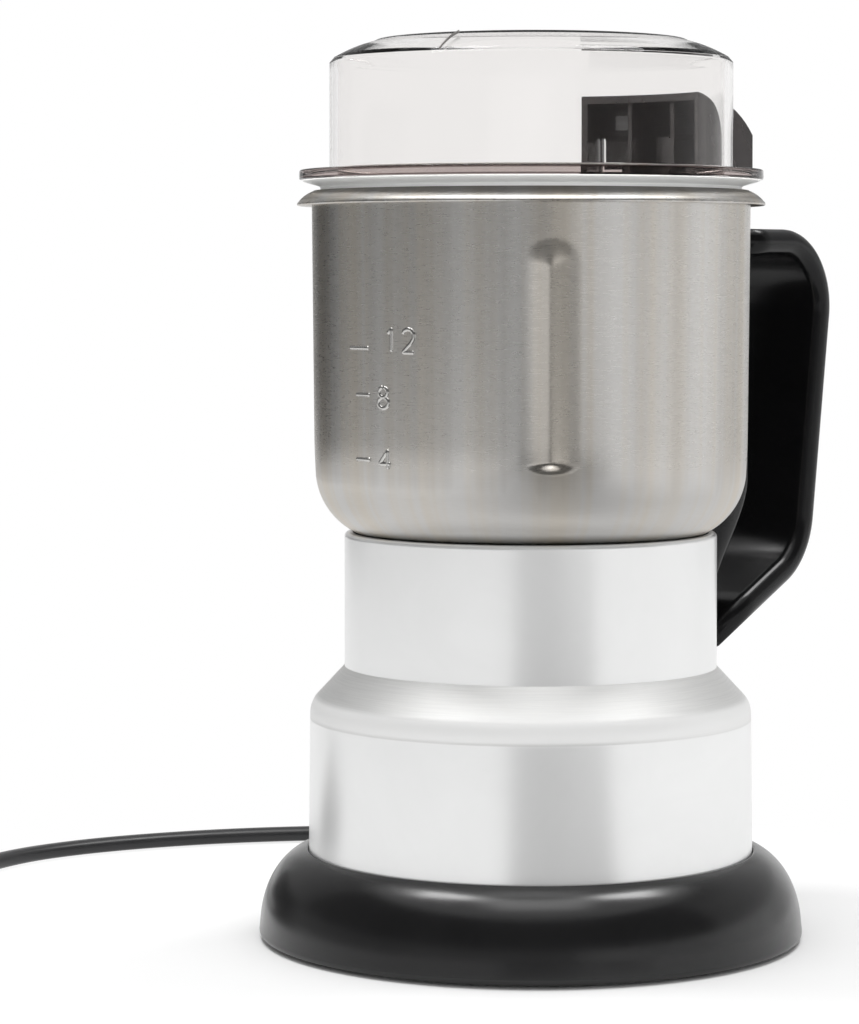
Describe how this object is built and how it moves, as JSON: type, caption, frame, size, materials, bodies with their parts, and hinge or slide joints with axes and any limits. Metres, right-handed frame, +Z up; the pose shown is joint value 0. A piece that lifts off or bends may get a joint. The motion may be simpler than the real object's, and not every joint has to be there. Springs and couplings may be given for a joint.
{
  "type": "electric spice grinder",
  "caption": "Electric spice grinder: steel bowl with blades on a stepped motor body, loop handle, clear press-down lid with a hood that works the safety switch.",
  "frame": {"origin": "centre of the rubber foot ring, in the table plane", "axes": "+Z up along the drive shaft, +X towards the handle, +Y across the handle"},
  "size_m": [0.2099, 0.3407, 0.2104],
  "materials": {
    "gloss_black": "glossy moulding",
    "matte_black": "fine moulding grain",
    "dark_rubber": "matte",
    "screw_steel": "zinc plated",
    "body_lacquer": "satin silver-white lacquer, the sloping step left brushed",
    "chassis_plastic": "natural glass-filled",
    "bowl_steel": "brushed round the bowl",
    "natural_nylon": "natural",
    "spring_steel": "bright wire and strip",
    "red_plastic": "moulded",
    "clear_plastic": "clear, slightly smoky",
    "seal_rubber": "translucent white silicone",
    "blade_steel": "ground stainless",
    "bronze": "sintered bronze",
    "lamination_steel": "stacked sheet edges",
    "copper": "enamelled copper wire",
    "zinc_sheet": "zinc plated sheet",
    "brass_sheet": "bare brass",
    "carbon": "pressed carbon",
    "board_green": "lacquered laminate",
    "film_yellow": "dipped case",
    "cord_black": "soft flexible PVC"
  },
  "bodies": {
    "motor_body": {"base_skirt": "gloss_black", "bottom_cover": "matte_black", "foot_ring": "dark_rubber", "bottom_screws": "screw_steel", "body_shell": "body_lacquer", "motor_chassis": "chassis_plastic", "chassis_screws": "screw_steel", "bowl": "bowl_steel", "bowl_gasket": "dark_rubber", "handle_column": "gloss_black", "handle_grip": "gloss_black", "handle_cover": "matte_black", "handle_screws": "screw_steel", "rod_spring": "spring_steel", "micro_switch": "matte_black", "switch_screws": "screw_steel", "shaft_seal": "dark_rubber", "shaft_bush": "bronze", "bush_nut": "screw_steel", "upper_bearing": "screw_steel", "lower_bearing": "bronze", "upper_bracket": "zinc_sheet", "lower_bracket": "zinc_sheet", "stator_core": "lamination_steel", "field_coils": "copper", "motor_bolts": "screw_steel", "brush_holders": "brass_sheet", "carbon_brushes": "carbon", "brush_springs": "spring_steel", "motor_spacers": "matte_black", "circuit_board": "board_green", "capacitor": "film_yellow", "thermal_fuse": "zinc_sheet", "cord_clamp": "matte_black", "clamp_screws": "screw_steel", "strain_relief": "cord_black", "power_cord": "cord_black", "cord_coil": "cord_black", "cord_tail": "cord_black", "cord_tie": "matte_black", "plug_body": "cord_black", "plug_blades": "brass_sheet"},
    "press_rod": {"push_rod": "natural_nylon"},
    "lid_set": {"lid": "clear_plastic", "lid_seal": "seal_rubber", "lid_hood": "gloss_black"},
    "rotor": {"shaft": "blade_steel", "lower_blade": "blade_steel", "upper_blade": "blade_steel", "blade_spacer": "blade_steel", "blade_washer": "blade_steel", "blade_nut": "blade_steel", "rotor_core": "lamination_steel", "rotor_windings": "copper", "commutator": "copper", "fan": "matte_black"},
    "lever": {"switch_lever": "spring_steel"},
    "button": {"switch_button": "red_plastic"}
  },
  "joints": [
    {"name": "press", "type": "slide", "parent": "motor_body", "child": "press_rod", "axis": [0, 0, 1], "range_m": [-0.0013, 0], "stiffness_N_per_m": 500, "springref_m": 0.004, "deforming": ["rod_spring"]},
    {"name": "lid_lift", "type": "slide", "parent": "press_rod", "child": "lid_set", "axis": [0, 0, 1], "range_m": [0, 0.09]},
    {"name": "spin", "type": "hinge", "parent": "motor_body", "child": "rotor", "pos_m": [0, 0, 0.1], "axis": [0, 0, 1], "continuous": true},
    {"name": "lever_swing", "type": "hinge", "parent": "motor_body", "child": "lever", "pos_m": [0.0569, -0.014, 0.1185], "axis": [1, 0, 0], "range_deg": [-5.6, 0]},
    {"name": "button_press", "type": "slide", "parent": "motor_body", "child": "button", "axis": [0, 0, 1], "range_m": [-0.0007, 0]}
  ],
  "couplings": [
    {"joint": "lever_swing", "follows": "press", "rad_per_m": 71.532},
    {"joint": "button_press", "follows": "press", "ratio": 0.4286}
  ]
}
